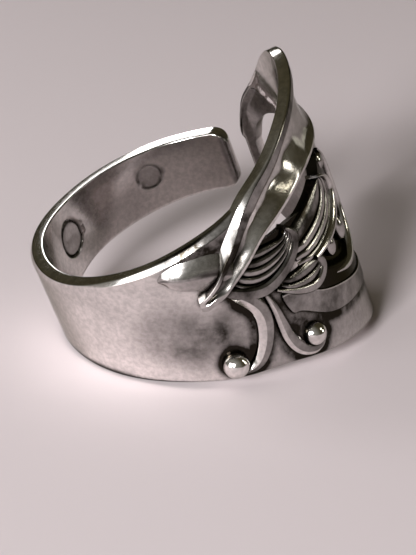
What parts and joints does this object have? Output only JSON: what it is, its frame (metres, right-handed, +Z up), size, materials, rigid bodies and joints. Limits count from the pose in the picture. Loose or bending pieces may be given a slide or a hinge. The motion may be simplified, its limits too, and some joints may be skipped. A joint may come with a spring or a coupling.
{
  "type": "spoon ring",
  "caption": "Open finger ring bent from a silver spoon handle, with a narrow cut end beside a broad pierced end that carries a hollow leaf, ridged lobes, curling tendrils and small balls.",
  "frame": {"origin": "middle of the ring's box on the surface it lies on", "axes": "+Z up from the surface, +X towards the ornamented end, -Y towards the front where the ornament shows; the hoop's axis leans from +Z towards -X and -Y"},
  "size_m": [0.0232, 0.0212, 0.0193],
  "materials": {
    "silver": "polished silver, slightly worn, oxidised in its recesses"
  },
  "bodies": {
    "root": {"ring": "silver"}
  },
  "joints": []
}
